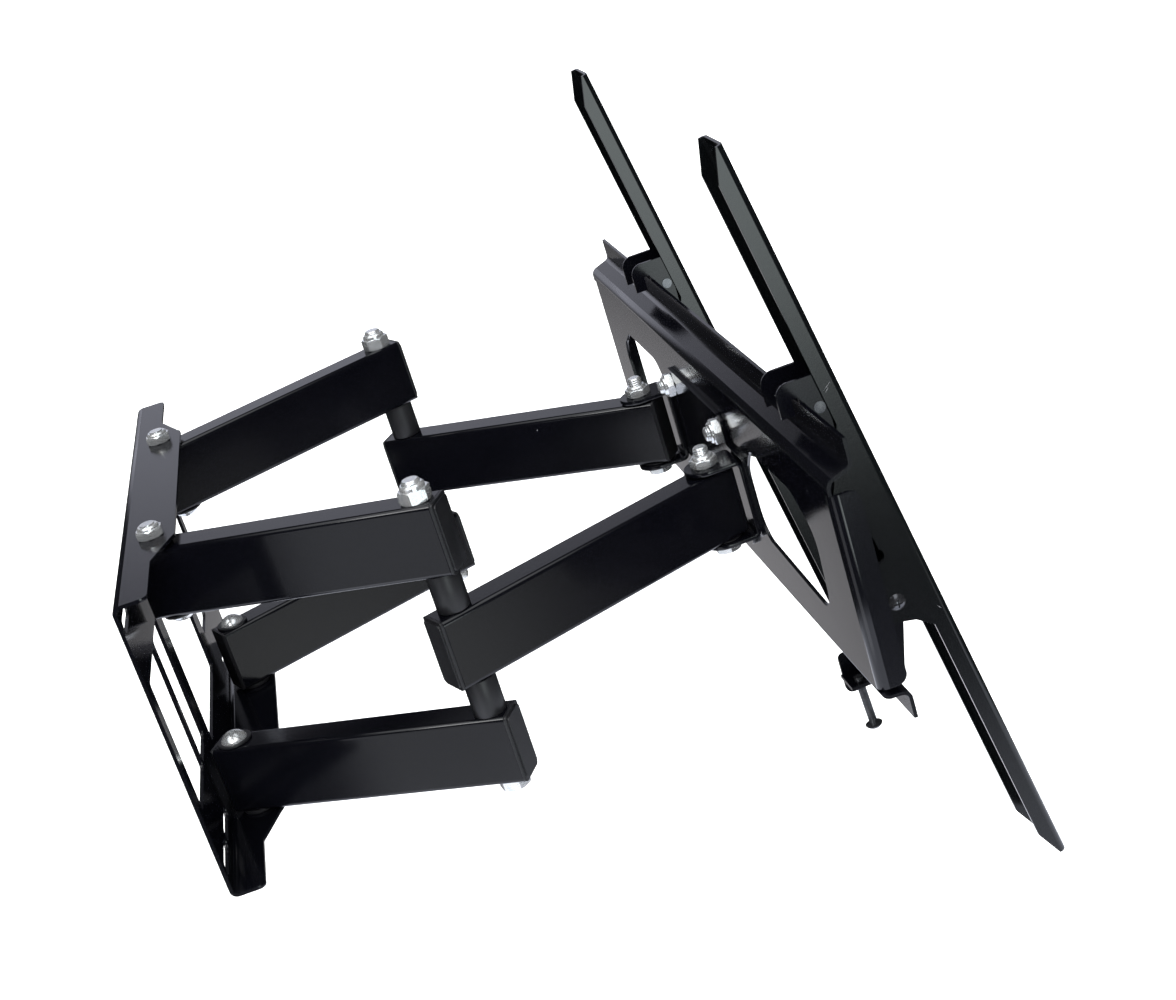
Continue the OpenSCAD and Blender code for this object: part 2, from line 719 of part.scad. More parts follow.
// Carrier plate: one folded sheet with a lip above, a lip below and a flange at each end
module carrier_opening() {
    r = opening_r;
    round_polygon([
        [opening_inner + r, opening_pinch_low - opening_bottom + r],
        [opening_outer - r - 4, r - opening_bottom],
        [opening_outer - r, opening_top - r - 10],
        [opening_outer - r - 18, opening_top - r],
        [opening_inner + r + 12, opening_top - r],
        [opening_inner + r, opening_top - r - opening_pinch_top]
    ], r);
}

module carrier_section() {
    half_t = carrier_t / 2;
    lip_y = half_t - carrier_d;
    folded_section([
        [lip_y, lip_top],
        [lip_y, face_top + flange_rise],
        [-half_t, face_top - half_t],
        [-half_t, half_t - face_bottom],
        [lip_y, half_t - face_bottom - 1],
        [lip_y, -lip_bottom]
    ], carrier_t, carrier_bend_r);
}

module side_flange() {
    half_t = carrier_t / 2;
    end_x = carrier_w / 2 - half_t;
    root = carrier_bend_r + 2 * carrier_t;
    intersection() {
        translate([0, 0, -side_bottom]) linear_extrude(side_top + side_bottom) folded_section([
            [end_x - root, -half_t], [end_x, -half_t], [end_x, -carrier_d]
        ], carrier_t, carrier_bend_r);
        translate([end_x - 2 * root, 0, 0]) rotate([90, 0, 90]) linear_extrude(3 * root) {
            translate([side_r - carrier_d, side_r - side_bottom]) circle(side_r);
            translate([side_r - carrier_d, side_top - side_r]) circle(side_r);
            translate([-carrier_d, side_r - side_bottom])
                square([carrier_d + 1, side_top + side_bottom - 2 * side_r]);
            translate([side_r - carrier_d, -side_bottom])
                square([carrier_d + 1 - side_r, side_top + side_bottom]);
        }
    }
}

module carrier_plate() {
    root = carrier_bend_r + 2 * carrier_t;
    color(black_paint) in_carrier() {
        difference() {
            translate([-carrier_w / 2, 0, 0]) rotate([90, 0, 90]) linear_extrude(carrier_w)
                carrier_section();
            for (s = [-1, 1]) scale([s, 1, 1])
                translate([carrier_w / 2 - root - carrier_t / 2, -carrier_d, -side_bottom - 1])
                cube([root + carrier_t, carrier_d + 1, side_top + side_bottom + 2]);
            rotate([90, 0, 0]) translate([0, 0, -1]) linear_extrude(carrier_t + 2) {
                for (s = [0, 1]) mirror([s, 0]) carrier_opening();
                for (x = [-1, 1], z = [-1, 1]) translate([x * head_bolt_x, z * head_bolt_z])
                    circle(head_bolt_r + fit_gap);
            }
        }
        for (s = [0, 1]) mirror([s, 0, 0]) side_flange();
    }
}

// Bar coordinates: x across, the outer face on y = 0, flanges towards +Y, z along the bar
module in_bar(x, tilt) {
    in_carrier() translate([x, -tilt_depth, -tilt_drop]) rotate([-tilt, 0, 0])
        translate([0, -tilt_to_face, tilt_along]) children();
}

// Side outline of a bar: narrow flanges, wide about the tilt axis, tapered ends
module bar_outline() {
    half = bar_len / 2;
    fillet = 20;
    end_d = 5;
    difference() {
        polygon([
            [-1, half], [end_d, half], [bar_d, half - bar_taper],
            [bar_d, bar_wide_up + 36], [bar_wide_d - 9, bar_wide_up + 8], [bar_wide_d, bar_wide_up - 8],
            [bar_wide_d, -bar_wide_down], [bar_wide_d - 14, -bar_wide_down - 6],
            [bar_d, -bar_wide_down - 6 - fillet / 2],
            [bar_d, bar_taper - half], [end_d, -half], [-1, -half]
        ]);
        translate([bar_d + fillet, -bar_wide_down - 8 - fillet]) circle(fillet);
    }
}

module bar_keyhole() {
    y = tilt_to_face - 1.2;
    slim = 3.4;
    translate([y, -8]) circle(5.2);
    translate([y, 4]) circle(slim);
    translate([y - slim, -8]) square([2 * slim, 12]);
}

module tv_bar() {
    half_t = bar_t / 2;
    side = bar_half - half_t;
    top_row = floor((bar_len / 2 - hole_pitch * 0.4) / hole_pitch);
    color(black_paint) difference() {
        intersection() {
            translate([0, 0, -bar_len / 2]) linear_extrude(bar_len) folded_section([
                [-side, bar_wide_d + 2], [-side, half_t], [side, half_t], [side, bar_wide_d + 2]
            ], bar_t, bar_bend_r);
            translate([-bar_w, 0, 0]) rotate([90, 0, 90]) linear_extrude(2 * bar_w) bar_outline();
        }
        rotate([90, 0, 0]) translate([0, 0, -bar_t - 1]) linear_extrude(bar_t + 2)
            for (s = [-1, 1], i = [1:top_row]) {
                translate([0, s * i * hole_pitch]) circle(hole_d / 2);
                if (i > 1) translate([0, s * (i - 0.5) * hole_pitch]) rotate(90) slot(bar_slot_len, hole_d);
            }
        translate([-bar_w, 0, 0]) rotate([90, 0, 90]) linear_extrude(2 * bar_w) bar_keyhole();
        translate([-bar_w, tilt_to_face, -tilt_along]) rotate([0, 90, 0])
            cylinder(h = 2 * bar_w, r = tilt_screw_r + fit_gap);
    }
}

module near_tv_bar() in_bar(near_bar_x, near_bar_tilt) tv_bar();
module far_tv_bar() in_bar(far_bar_x, far_bar_tilt) tv_bar();

// Cheek of a hook bracket in depth and height: it hooks over the upper lip and stands on the lips
module hook_cheek() {
    nose = hook_nose_in + hook_nose_w;
    seat = carrier_d + slide_gap;
    top = lip_top + hook_over;
    foot = -lip_bottom - 10;
    ear_r = 9.5;
    difference() {
        union() {
            polygon([
                [hook_nose_in, lip_top - hook_nose_drop], [nose, lip_top - hook_nose_drop],
                [nose, lip_top + 5], [carrier_d - 3, lip_top + 5], [carrier_d - 3, lip_top + slide_gap],
                [seat, lip_top + slide_gap], [seat, foot], [hook_back + 4, foot],
                [tilt_depth + 2, -tilt_drop - 15], [tilt_depth + ear_r, -tilt_drop],
                [tilt_depth + ear_r - 3, -tilt_drop + 8], [hook_back, -tilt_drop + 32],
                [hook_back, top - 5], [hook_back - 5, top], [hook_nose_in + hook_r, top],
                [hook_nose_in, top - hook_r]
            ]);
            translate([hook_nose_in + hook_r, top - hook_r]) intersection() {
                circle(hook_r);
                translate([-hook_r, 0]) square(hook_r);
            }
            translate([hook_back - 5, top - 5]) circle(5);
            translate([tilt_depth, -tilt_drop]) circle(ear_r);
        }
        translate([tilt_depth, -tilt_drop]) circle(tilt_screw_r + fit_gap);
        translate([hook_back - 5.5, lip_top - 5.5]) circle(cross_pin_r + fit_gap);
    }
}

// Tongue at the far cheek's foot: it passes under the lower lip and has a hole for a padlock
module hook_tongue() {
    wall_side = 4.2;
    lip_gap = 3;
    r = 5;
    difference() {
        union() {
            polygon([
                [wall_side, r - tongue_drop], [wall_side + r, -tongue_drop], [carrier_d - 4, -tongue_drop],
                [carrier_d + 4, 3 - tongue_drop], [hook_back + 4, -lip_bottom - 10 - eps],
                [hook_back + 4, -lip_bottom - 9], [carrier_d + 2, -lip_bottom - lip_gap],
                [11.5, -lip_bottom - lip_gap], [11.5, lip_gap - lip_bottom],
                [wall_side + 4, lip_gap - lip_bottom], [wall_side, -lip_bottom - 1]
            ]);
            translate([wall_side + r, r - tongue_drop]) circle(r);
            translate([wall_side + 4, -lip_bottom - 1]) circle(4);
        }
        translate([8.5, 9 - tongue_drop]) circle(3);
    }
}

module hook_bracket() {
    web_low = 30 - tilt_drop;
    web_high = lip_top + hook_over - 8;
    tab_near = -2.5 * lock_screw_r;
    color(black_paint) difference() {
        union() {
            for (s = [-1, 1]) translate([s * (hook_half - hook_t / 2) - hook_t / 2, 0, 0])
                rotate([90, 0, 90]) linear_extrude(hook_t) mirror([1, 0]) hook_cheek();
            translate([hook_half - hook_t, 0, 0])
                rotate([90, 0, 90]) linear_extrude(hook_t) mirror([1, 0]) hook_tongue();
            translate([hook_t / 2 - hook_half, -hook_back, web_low])
                cube([hook_w - hook_t, hook_t, web_high - web_low]);
            translate([tab_near, 3 - 2 * lock_depth, -lock_drop])
                cube([hook_half - hook_t / 2 - tab_near, 2 * lock_depth - 6, hook_t]);
        }
        in_lock() translate([0, 0, -hook_t]) cylinder(h = 4 * hook_t, r = lock_screw_r + fit_gap);
    }
}

// The lock screw's line: it crosses the tab's underside at the lock depth and leans to the wall
module in_lock() {
    translate([0, -lock_depth, -lock_drop]) rotate([-lock_lean, 0, 0]) children();
}

module near_hook_bracket() in_carrier() translate([near_bar_x, 0, 0]) hook_bracket();
module far_hook_bracket() in_carrier() translate([far_bar_x, 0, 0]) hook_bracket();

// Tilt screw across both cheeks and both flanges, its head on the near side, its nut on the far side
module at_tilt_axis(x) {
    in_carrier() translate([x, -tilt_depth, -tilt_drop]) children();
}

module tilt_screw() {
    tail = nut_h_ratio * tilt_screw_d + 2;
    color(black_paint) translate([-bar_half - run_gap, 0, 0]) rotate([0, -90, 0])
        pan_screw(tilt_screw_r, bar_w + 2 * run_gap + tail, tilt_screw_r * 2);
}

module tilt_nut() {
    color(zinc) translate([bar_half + run_gap, 0, 0]) rotate([0, 90, 0])
        hex_nut(tilt_screw_d * 1.7, tilt_screw_r);
}

module near_tilt_screw() at_tilt_axis(near_bar_x) tilt_screw();
module far_tilt_screw() at_tilt_axis(far_bar_x) tilt_screw();
module near_tilt_nut() at_tilt_axis(near_bar_x) tilt_nut();
module far_tilt_nut() at_tilt_axis(far_bar_x) tilt_nut();

// Cross pin riveted through both cheeks below the hooks
module cross_pin(x) {
    head_t = 0.4;
    color(black_paint) in_carrier() translate([x, 5.5 - hook_back, lip_top - 5.5]) rotate([0, 90, 0])
        translate([0, 0, -hook_half]) union() {
            cylinder(h = hook_w, r = cross_pin_r);
            translate([0, 0, -head_t]) cylinder(h = head_t, r = cross_pin_r * 2);
            translate([0, 0, hook_w]) cylinder(h = head_t, r = cross_pin_r * 2);
        }
}

module near_cross_pin() cross_pin(near_bar_x);
module far_cross_pin() cross_pin(far_bar_x);

// Lock screw up through the bracket's tab, behind the lower lip when it is driven home
module lock_screw(x) {
    color(black_paint) in_carrier() translate([x, 0, 0]) in_lock()
        translate([0, 0, -lock_screw_out]) mirror([0, 0, 1])
        pan_screw(lock_screw_r, lock_screw_len, lock_screw_r * 2.1);
}

module near_lock_screw() lock_screw(near_bar_x);
module far_lock_screw() lock_screw(far_bar_x);

wall_plate();
shoulder_bolts();
shoulder_nuts();
shoulder_washers();
near_upper_arm();
near_lower_arm();
far_upper_arm();
far_lower_arm();
near_forearm();
far_forearm();
near_upper_arm_wall_cap();
near_upper_arm_elbow_cap();
near_lower_arm_wall_cap();
near_lower_arm_elbow_cap();
far_upper_arm_wall_cap();
far_upper_arm_elbow_cap();
far_lower_arm_wall_cap();
far_lower_arm_elbow_cap();
near_forearm_elbow_cap();
near_forearm_wrist_cap();
far_forearm_elbow_cap();
far_forearm_wrist_cap();
near_elbow_spacers();
far_elbow_spacers();
near_elbow_bolt();
far_elbow_bolt();
near_elbow_nut();
far_elbow_nut();
near_wrist_bracket();
far_wrist_bracket();
wrist_bolts();
wrist_nuts();
wrist_washers();
head_plate();
head_plate_bolts();
head_plate_nuts();
carrier_plate();
near_tv_bar();
far_tv_bar();
near_hook_bracket();
far_hook_bracket();
near_tilt_screw();
far_tilt_screw();
near_tilt_nut();
far_tilt_nut();
near_cross_pin();
far_cross_pin();
near_lock_screw();
far_lock_screw();
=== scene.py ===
import json
import math

import bmesh
import bpy
from mathutils import Matrix, Vector


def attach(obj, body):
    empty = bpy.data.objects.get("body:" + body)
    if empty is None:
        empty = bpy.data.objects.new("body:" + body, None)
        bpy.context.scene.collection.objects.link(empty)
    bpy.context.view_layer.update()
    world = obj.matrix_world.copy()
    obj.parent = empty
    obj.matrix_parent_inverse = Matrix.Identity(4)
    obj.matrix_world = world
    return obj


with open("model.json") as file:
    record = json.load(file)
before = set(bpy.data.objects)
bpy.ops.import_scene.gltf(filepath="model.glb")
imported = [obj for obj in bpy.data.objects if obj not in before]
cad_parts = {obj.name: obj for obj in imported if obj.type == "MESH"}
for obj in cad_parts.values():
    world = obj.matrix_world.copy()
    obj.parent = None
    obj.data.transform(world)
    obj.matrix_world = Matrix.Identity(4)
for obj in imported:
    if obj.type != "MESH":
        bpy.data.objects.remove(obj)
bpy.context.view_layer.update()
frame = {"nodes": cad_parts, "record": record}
nodes = frame["nodes"]
scene = bpy.context.scene

PHOTO_WIDTH = 1176  # pixels across the photograph
FOCAL_PIXELS = 1983.44  # its focal length in the same pixels
SENSOR = 36.0  # width of the camera's sensor, millimetres

# Places and sizes that part.scad fixes: metres, or millimetres where the name ends in MM
HEAD = Vector((-0.016688, -0.383261, 0.0))  # midway between the wrist axes
SWIVEL = Matrix.Rotation(math.radians(2.6), 3, "Z")  # turn of the head
FACE_MM = 25.5  # from a wrist axis to the carrier's face
WRIST_MM = 93.5  # from the head's middle to a wrist axis
PLATE_BOLTS_MM = ((-63.5, 38.5), (63.5, 38.5), (-63.5, -38.5), (63.5, -38.5))  # across and up
ELBOWS = {"near": (-0.192365, -0.196466), "far": (0.183602, -0.200584)}
# Where the threads start to show, on the wrist, head plate and elbow bolts
WRIST_TOP_MM = 37.4
PLATE_BACK_MM = 11.0  # behind the carrier's face
ELBOW_TOP = 0.1140
M10 = (0.0050, 0.0015)  # radius and pitch
M12 = (0.0060, 0.00175)
LOCK_AXIS = (-0.0029, 0.0645, 0.9979)  # the lock screws' direction
BAR_TILT = math.radians(10.9)  # lean of the near bar
BAR_SIDE_MM = -216 - 19  # the near bar's place along the carrier, less half its width
TILT_AXIS_MM = (-42.8, -47.4)  # depth and height of the tilt axes on the carrier
TILT_IN_BAR_MM = (28.7, -43.0)  # the same axes in a bar: depth from its face, height from its middle


# ---------------------------------------------------------------- camera
def add_camera():
    """The photograph's camera, solved from the part's corners; the rows are its axes in the world."""
    right = Vector((-0.17489703, -0.94358824, -0.28116234))
    down = Vector((-0.32226176, 0.32469569, -0.88922442))
    forward = Vector((0.93035391, -0.06491484, -0.36087072))
    data = bpy.data.cameras.new("photo_camera")
    data.sensor_fit = "HORIZONTAL"
    data.sensor_width = SENSOR
    data.lens = FOCAL_PIXELS / PHOTO_WIDTH * SENSOR
    data.clip_start = 0.05
    data.clip_end = 200
    cam = bpy.data.objects.new("photo_camera", data)
    scene.collection.objects.link(cam)
    turn = Matrix((right, -down, -forward)).transposed()
    place = (-1.362035, -0.217081, 0.518446)
    cam.matrix_world = Matrix.Translation(place) @ turn.to_4x4()
    scene.camera = cam


# ---------------------------------------------------------------- node helpers
def link(tree, a, b):
    tree.links.new(a, b)


def math_node(tree, kind, a, b=None):
    n = tree.nodes.new("ShaderNodeMath")
    n.operation = kind
    for i, v in enumerate((a, b)):
        if v is None:
            continue
        if isinstance(v, (int, float)):
            n.inputs[i].default_value = v
        else:
            link(tree, v, n.inputs[i])
    return n.outputs[0]


def ramp(tree, fac, stops):
    n = tree.nodes.new("ShaderNodeValToRGB")
    el = n.color_ramp.elements
    while len(el) < len(stops):
        el.new(0.5)
    for e, (p, c) in zip(el, stops):
        e.position = p
        e.color = (*c, 1)
    link(tree, fac, n.inputs[0])
    return n.outputs[0]


def noise(tree, vec, scale, detail=3.0, rough=0.5):
    n = tree.nodes.new("ShaderNodeTexNoise")
    n.inputs["Scale"].default_value = scale
    n.inputs["Detail"].default_value = detail
    n.inputs["Roughness"].default_value = rough
    link(tree, vec, n.inputs["Vector"])
    return n.outputs["Fac"]


def mix_color(tree, fac, a, b):
    n = tree.nodes.new("ShaderNodeMix")
    n.data_type = "RGBA"
    for sock, v in ((n.inputs[0], fac), (n.inputs[6], a), (n.inputs[7], b)):
        if isinstance(v, tuple):
            sock.default_value = (*v, 1)
        else:
            link(tree, v, sock)
    return n.outputs[2]


def new_material(name):
    """A Principled material: the material, its tree, its shader and object coordinates."""
    m = bpy.data.materials.new(name)
    m.use_nodes = True
    t = m.node_tree
    t.nodes.clear()
    out = t.nodes.new("ShaderNodeOutputMaterial")
    p = t.nodes.new("ShaderNodeBsdfPrincipled")
    link(t, p.outputs[0], out.inputs[0])
    tc = t.nodes.new("ShaderNodeTexCoord")
    return m, t, p, tc.outputs["Object"]


def bump(tree, height, strength, distance, prev=None):
    n = tree.nodes.new("ShaderNodeBump")
    n.inputs["Strength"].default_value = strength
    n.inputs["Distance"].default_value = distance
    link(tree, height, n.inputs["Height"])
    if prev is not None:
        link(tree, prev, n.inputs["Normal"])
    return n.outputs[0]


# ---------------------------------------------------------------- materials
def powder_coat(name, tone, gloss, grain_depth, specks, ior=1.5):
    """Black powder coat: fine orange peel, broad patches and a trace of dust, rarer as specks nears 1."""
    m, t, p, vec = new_material(name)
    broad = noise(t, vec, 9.0, 3.0, 0.55)
    fine = noise(t, vec, 900.0, 2.0, 0.6)
    grain = noise(t, vec, 2400.0, 1.0, 0.5)
    base = ramp(t, broad, [(0.3, tuple(c * 0.82 for c in tone)), (0.7, tuple(c * 1.12 for c in tone))])
    dust = t.nodes.new("ShaderNodeTexVoronoi")
    dust.inputs["Scale"].default_value = 62.0
    link(t, vec, dust.inputs["Vector"])
    near = math_node(t, "LESS_THAN", dust.outputs["Distance"], 0.020)
    pick = t.nodes.new("ShaderNodeSeparateColor")
    link(t, dust.outputs["Color"], pick.inputs[0])
    few = math_node(t, "GREATER_THAN", pick.outputs[0], specks)
    speck = math_node(t, "MULTIPLY", near, few)
    color = mix_color(t, speck, base, (0.34, 0.35, 0.37))
    link(t, color, p.inputs["Base Color"])
    rough = ramp(t, broad, [(0.25, (gloss,) * 3), (0.75, (gloss + 0.03,) * 3)])
    link(t, rough, p.inputs["Roughness"])
    p.inputs["IOR"].default_value = ior
    b = bump(t, fine, grain_depth, 0.0004)
    b = bump(t, grain, grain_depth * 1.2, 0.0002, b)
    link(t, b, p.inputs["Normal"])
    return m


def zinc_plate():
    """Bright zinc plate with faint blue and yellow stains."""
    m, t, p, vec = new_material("zinc_bright")
    stain = noise(t, vec, 160.0, 4.0, 0.6)
    tones = [(0.25, (0.72, 0.77, 0.80)), (0.55, (0.88, 0.89, 0.90)), (0.8, (0.80, 0.79, 0.74))]
    color = ramp(t, stain, tones)
    link(t, color, p.inputs["Base Color"])
    p.inputs["Metallic"].default_value = 0.86
    fine = noise(t, vec, 1400.0, 2.0, 0.6)
    rough = ramp(t, stain, [(0.3, (0.14,) * 3), (0.75, (0.26,) * 3)])
    link(t, rough, p.inputs["Roughness"])
    b = bump(t, fine, 0.25, 0.0002)
    link(t, b, p.inputs["Normal"])
    return m


def moulded_plastic():
    """Black moulded nylon of the end caps, spacers and washers."""
    m, t, p, vec = new_material("moulded_black")
    broad = noise(t, vec, 30.0, 3.0, 0.5)
    fine = noise(t, vec, 1800.0, 2.0, 0.6)
    base = ramp(t, broad, [(0.3, (0.0065, 0.0068, 0.0080)), (0.7, (0.0095, 0.0096, 0.0108))])
    link(t, base, p.inputs["Base Color"])
    rough = ramp(t, broad, [(0.3, (0.36,) * 3), (0.7, (0.44,) * 3)])
    link(t, rough, p.inputs["Roughness"])
    p.inputs["IOR"].default_value = 1.46
    b = bump(t, fine, 0.12, 0.0002)
    link(t, b, p.inputs["Normal"])
    return m


def black_screw(name, thread):
    """Glossy black plated screws; thread is the pitch of the lock screws' thread in metres, or None."""
    m, t, p, vec = new_material(name)
    stain = noise(t, vec, 220.0, 3.0, 0.5)
    base = ramp(t, stain, [(0.3, (0.060, 0.062, 0.070)), (0.75, (0.150, 0.152, 0.160))])
    link(t, base, p.inputs["Base Color"])
    p.inputs["Metallic"].default_value = 0.85
    rough = ramp(t, stain, [(0.3, (0.12,) * 3), (0.75, (0.22,) * 3)])
    link(t, rough, p.inputs["Roughness"])
    if thread:
        d = t.nodes.new("ShaderNodeVectorMath")
        d.operation = "DOT_PRODUCT"
        link(t, vec, d.inputs[0])
        d.inputs[1].default_value = LOCK_AXIS
        wave = math_node(t, "SINE", math_node(t, "MULTIPLY", d.outputs["Value"], 2 * math.pi / thread))
        link(t, bump(t, wave, 0.9, 0.00035), p.inputs["Normal"])
    return m


MATS = {
    "powder_coat": powder_coat("powder_coat_black", (0.0016, 0.0017, 0.0028), 0.105, 0.05, 0.82),
    "bars": powder_coat("powder_coat_textured", (0.0020, 0.0024, 0.0028), 0.10, 0.06, 0.80),
    "hooks": powder_coat("powder_coat_hooks", (0.0016, 0.0017, 0.0028), 0.12, 0.05, 0.84, 1.40),
    "zinc": zinc_plate(),
    "black_plastic": moulded_plastic(),
    "black_zinc": black_screw("screw_black", None),
    "threaded": black_screw("screw_black_threaded", 0.0011),
}
SLOT = {s["node"]: s["material_slot"] for s in frame["record"]["subparts"]}
LOOK = {"tv_bar": "bars", "hook_bracket": "hooks", "lock_screw": "threaded"}  # by the end of a node's name
EDGE = {"powder_coat": 0.00045, "zinc": 0.0003, "black_plastic": 0.0004, "black_zinc": 0.0002}


# ---------------------------------------------------------------- CAD nodes: finish and softened edges
def soften(obj, width):
    """Rounds the sharp edges, after flat faces are joined."""
    weld = obj.modifiers.new("weld", "WELD")
    weld.merge_threshold = 0.000004
    flat = obj.modifiers.new("flat", "DECIMATE")
    flat.decimate_type = "DISSOLVE"
    flat.angle_limit = math.radians(0.6)
    edge = obj.modifiers.new("edge", "BEVEL")
    edge.width = width
    edge.segments = 2
    edge.limit_method = "ANGLE"
    edge.angle_limit = math.radians(32)
    edge.harden_normals = False
    edge.use_clamp_overlap = True


def finish_nodes():
    for name, obj in nodes.items():
        slot = SLOT[name]
        look = next((v for k, v in LOOK.items() if name.endswith(k)), slot)
        obj.data.materials.clear()
        obj.data.materials.append(MATS[look])
        soften(obj, EDGE[slot])


# ---------------------------------------------------------------- studio
# Soft round panels that the black coat mirrors: direction, angles in degrees where the panel starts to
# fade and where it ends, strength and tint
PANELS = [
    ((1.0, 0.0, 0.105), 10, 22, 0.62, (0.88, 0.90, 1.05)),
    ((0.87, 0.06, -0.44), 6, 17, 0.56, (0.98, 0.96, 1.0)),
    ((-0.97, -0.20, -0.12), 5, 17.6, 3.45, (0.90, 1.0, 1.0)),
    ((-0.68, -0.60, -0.42), 3, 8.5, 0.8, (0.97, 1.0, 1.0)),
    ((0.0, 0.0, -1.0), 57, 62, 1.2, (0.88, 0.92, 1.05)),
    ((-0.3, 0.1, 1.0), 20, 45, 1.6, (0.95, 0.98, 1.0)),
]
GLOOM = 0.04  # what the mirrored room shows between the panels
FLOOR_Z = -0.62
FLOOR_HALF = 60.0
CARD_SIZE = (0.60, 0.90)
CARD_RADIANCE = 0.75  # how bright the card looks in a mirror


def add_floor():
    bm = bmesh.new()
    s = FLOOR_HALF
    for x, y in ((-s, -s), (s, -s), (s, s), (-s, s)):
        bm.verts.new((x, y, FLOOR_Z))
    bm.faces.new(bm.verts)
    me = bpy.data.meshes.new("floor")
    bm.to_mesh(me)
    bm.free()
    floor = bpy.data.objects.new("floor", me)
    scene.collection.objects.link(floor)
    m, t, p, vec = new_material("floor_pale")
    p.inputs["Base Color"].default_value = (0.86, 0.86, 0.86, 1)
    p.inputs["Roughness"].default_value = 0.9
    p.inputs["Specular IOR Level"].default_value = 0.1
    p.inputs["Emission Color"].default_value = (1, 1, 1, 1)
    p.inputs["Emission Strength"].default_value = 0.55
    me.materials.append(m)
    floor.visible_glossy = False


def add_world():
    """A dim room with the soft panels for what is mirrored and lit, plain white where the camera looks."""
    world = bpy.data.worlds.new("studio")
    scene.world = world
    world.use_nodes = True
    t = world.node_tree
    t.nodes.clear()
    out = t.nodes.new("ShaderNodeOutputWorld")
    bg = t.nodes.new("ShaderNodeBackground")
    link(t, bg.outputs[0], out.inputs[0])
    tc = t.nodes.new("ShaderNodeTexCoord")
    v = t.nodes.new("ShaderNodeVectorMath")
    v.operation = "NORMALIZE"
    link(t, tc.outputs["Generated"], v.inputs[0])
    total = None
    for direction, inner, outer, strength, tint in PANELS:
        d = t.nodes.new("ShaderNodeVectorMath")
        d.operation = "DOT_PRODUCT"
        link(t, v.outputs[0], d.inputs[0])
        d.inputs[1].default_value = Vector(direction).normalized()
        r = t.nodes.new("ShaderNodeMapRange")
        r.interpolation_type = "SMOOTHSTEP"
        r.inputs["From Min"].default_value = math.cos(math.radians(outer))
        r.inputs["From Max"].default_value = math.cos(math.radians(inner))
        r.inputs["To Min"].default_value = 0.0
        r.inputs["To Max"].default_value = strength
        link(t, d.outputs["Value"], r.inputs["Value"])
        c = t.nodes.new("ShaderNodeVectorMath")
        c.operation = "SCALE"
        c.inputs[0].default_value = tint
        link(t, r.outputs[0], c.inputs["Scale"])
        if total is None:
            total = c.outputs[0]
        else:
            add = t.nodes.new("ShaderNodeVectorMath")
            link(t, total, add.inputs[0])
            link(t, c.outputs[0], add.inputs[1])
            total = add.outputs[0]
    add = t.nodes.new("ShaderNodeVectorMath")
    link(t, total, add.inputs[0])
    add.inputs[1].default_value = (GLOOM * 0.9, GLOOM * 0.93, GLOOM)
    path = t.nodes.new("ShaderNodeLightPath")
    seen = mix_color(t, path.outputs["Is Camera Ray"], add.outputs[0], (1.0, 1.0, 1.0))
    link(t, seen, bg.inputs["Color"])


def add_light(name, kind, energy, place, aim, size, color=(1, 1, 1)):
    """A rectangle of light, size in metres, or a sun, size as an angle in degrees."""
    data = bpy.data.lights.new(name, kind)
    data.energy = energy
    data.color = color
    if kind == "AREA":
        data.shape = "RECTANGLE"
        data.size, data.size_y = size
    elif kind == "SUN":
        data.angle = math.radians(size)
    lamp = bpy.data.objects.new(name, data)
    scene.collection.objects.link(lamp)
    lamp.location = place
    lamp.rotation_euler = (Vector(aim) - Vector(place)).to_track_quat("-Z", "Y").to_euler()
    return lamp


def add_lights():
    """Two wide suns for the matt parts, which no face mirrors, a lamp and a card that faces do mirror."""
    sky = add_light("sky", "SUN", 2.6, (0, 0, 5), (0.1, 0.1, 0), 60)
    front = add_light("front", "SUN", 3.2, (-5, -0.4, 2.4), (0, 0, 0), 50)
    for lamp in (sky, front):
        lamp.visible_glossy = False
    add_light("key", "AREA", 14, (-1.6, 0.9, 1.9), (0, -0.2, 0), (0.9, 0.9))
    power = CARD_RADIANCE * math.pi * CARD_SIZE[0] * CARD_SIZE[1]
    place, aim = (-0.8569, 0.4760, -0.3856), (-0.358, -0.314, -0.026)
    add_light("side_card", "AREA", power, place, aim, CARD_SIZE, (0.90, 0.93, 1.0))


# ---------------------------------------------------------------- threads on the bolt ends that show
def in_head(x, y, z):
    """Head coordinates in millimetres to world metres; y = 0 is the line of the wrist axes."""
    return HEAD + SWIVEL @ (Vector((x, y, z)) * 0.001)


def mesh_object(name, bm, material):
    """Makes an object of a bmesh, with its faces turned outwards."""
    bmesh.ops.recalc_face_normals(bm, faces=bm.faces)
    me = bpy.data.meshes.new(name)
    bm.to_mesh(me)
    bm.free()
    me.materials.append(material)
    obj = bpy.data.objects.new(name, me)
    scene.collection.objects.link(obj)
    return obj


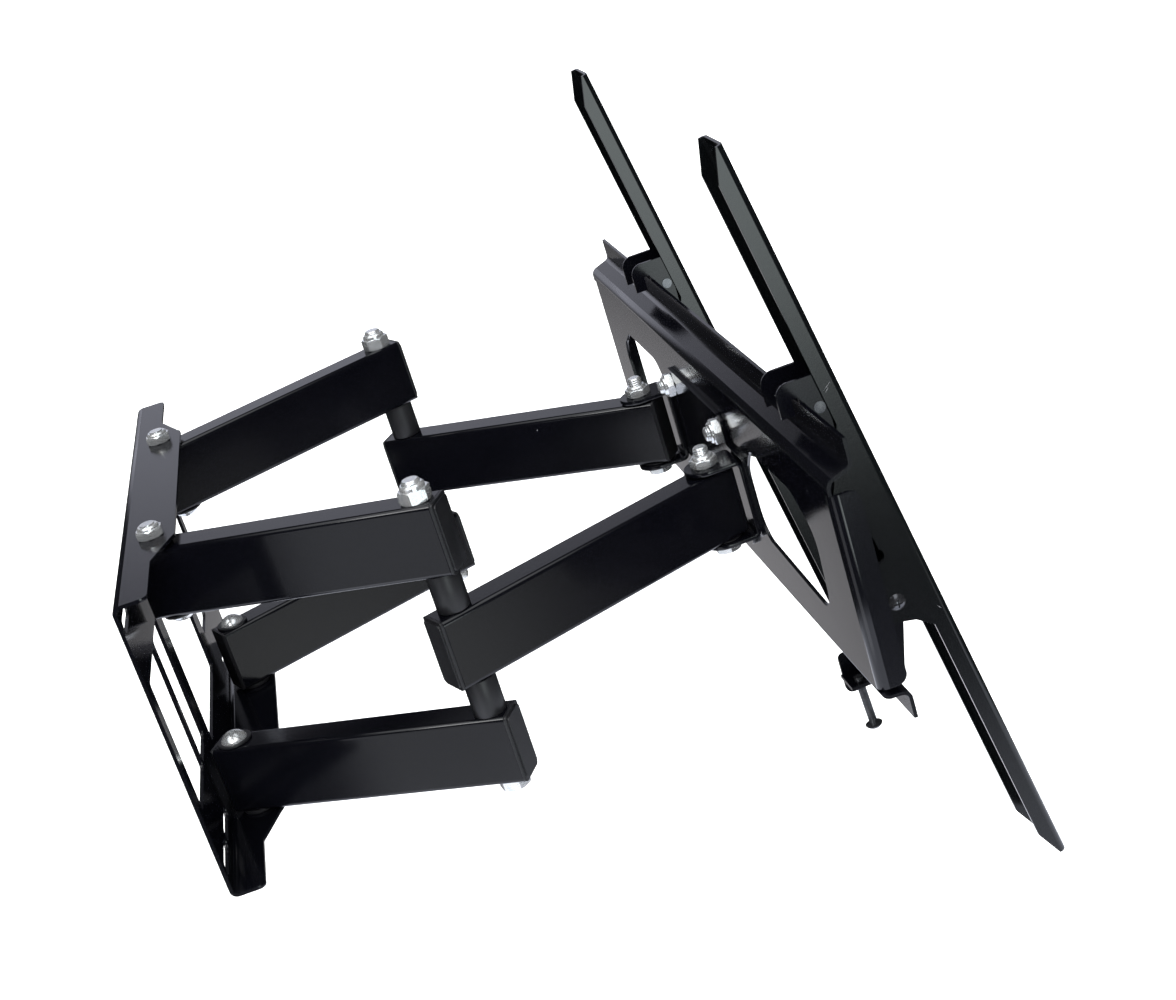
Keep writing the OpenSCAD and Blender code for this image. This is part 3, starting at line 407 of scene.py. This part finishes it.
def add_thread(name, body, foot, axis, length, size):
    """A helical ridge on a bolt's shank, from foot along axis; it fades out at both ends."""
    radius, pitch = size
    axis = Vector(axis).normalized()
    side = axis.orthogonal().normalized()
    other = axis.cross(side)
    bm = bmesh.new()
    steps = 40
    count = max(2, int(length / pitch * steps))
    rise = 0.055 * radius + 0.00006
    sunk = radius - 0.00012
    half = 0.40 * pitch
    rings = []
    for i in range(count + 1):
        a = 2 * math.pi * i / steps
        out = side * math.cos(a) + other * math.sin(a)
        z = length * i / count
        fade = min(1.0, 6 * i / count, 6 * (count - i) / count)
        ring = [
            foot + axis * max(0.0, z - half) + out * sunk,
            foot + axis * z + out * (radius + rise * fade),
            foot + axis * min(length, z + half) + out * sunk,
        ]
        rings.append([bm.verts.new(v) for v in ring])
    for a, b in zip(rings, rings[1:]):
        for i in range(2):
            bm.faces.new((a[i], a[i + 1], b[i + 1], b[i]))
        bm.faces.new((a[2], a[0], b[0], b[2]))
    bm.faces.new(rings[0])
    bm.faces.new(tuple(reversed(rings[-1])))
    obj = mesh_object(name, bm, MATS["zinc"])
    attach(obj, body)


def add_threads():
    up = Vector((0, 0, 1))
    for label, x in (("near", -WRIST_MM), ("far", WRIST_MM)):
        add_thread(f"{label}_wrist_thread", "head", in_head(x, 0, WRIST_TOP_MM), up, 0.0050, M10)
    back = SWIVEL @ Vector((0, 1, 0))
    for i, (x, z) in enumerate(PLATE_BOLTS_MM):
        foot = in_head(x, PLATE_BACK_MM - FACE_MM, z)
        add_thread(f"head_plate_thread_{i + 1}", "head", foot, back, 0.0022, M10)
    for label, (x, y) in ELBOWS.items():
        foot = Vector((x, y, ELBOW_TOP))
        add_thread(f"{label}_elbow_thread", f"{label}_arm", foot, up, 0.0018, M12)


# ---------------------------------------------------------------- rub marks on the near bar's flange
def on_near_bar(depth, along, lift):
    """A place on the near bar's outer flange: depth from the bar's face, height along it, lift off it."""
    d, h = depth - TILT_IN_BAR_MM[0], along - TILT_IN_BAR_MM[1]
    c, s = math.cos(BAR_TILT), math.sin(BAR_TILT)
    y, z = TILT_AXIS_MM
    return in_head(BAR_SIDE_MM - lift, y + d * c + h * s - FACE_MM, z - d * s + h * c)


def add_marks():
    """Three light strokes where the coat is rubbed, each a sliver that tapers to both ends."""
    m, t, p, vec = new_material("rubbed_coat")
    tone = ramp(t, noise(t, vec, 1500.0), [(0.35, (0.05, 0.052, 0.055)), (0.65, (0.32, 0.33, 0.35))])
    link(t, tone, p.inputs["Base Color"])
    p.inputs["Roughness"].default_value = 0.45
    strokes = (
        ((11.1, 107.6), (4.1, 111.4)),
        ((10.8, 106.0), (7.2, 108.4)),
        ((6.4, -59.6), (4.6, -63.2)),
    )
    for i, (a, b) in enumerate(strokes):
        a, b = Vector(a), Vector(b)
        side = (b - a).normalized()
        side = Vector((-side.y, side.x)) * 0.16
        mid = (a + b) / 2
        bm = bmesh.new()
        rim = [bm.verts.new(on_near_bar(v.x, v.y, 0.0)) for v in (a, mid + side, b, mid - side)]
        crest = bm.verts.new(on_near_bar(mid.x, mid.y, 0.05))
        for j in range(4):
            bm.faces.new((rim[j], rim[(j + 1) % 4], crest))
        bm.faces.new(tuple(reversed(rim)))
        obj = mesh_object(f"near_bar_mark_{i + 1}", bm, m)
        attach(obj, "near_bar")


add_camera()
finish_nodes()
add_threads()
add_marks()

add_floor()
add_world()
add_lights()
scene.view_settings.view_transform = "Standard"
scene.view_settings.look = "None"
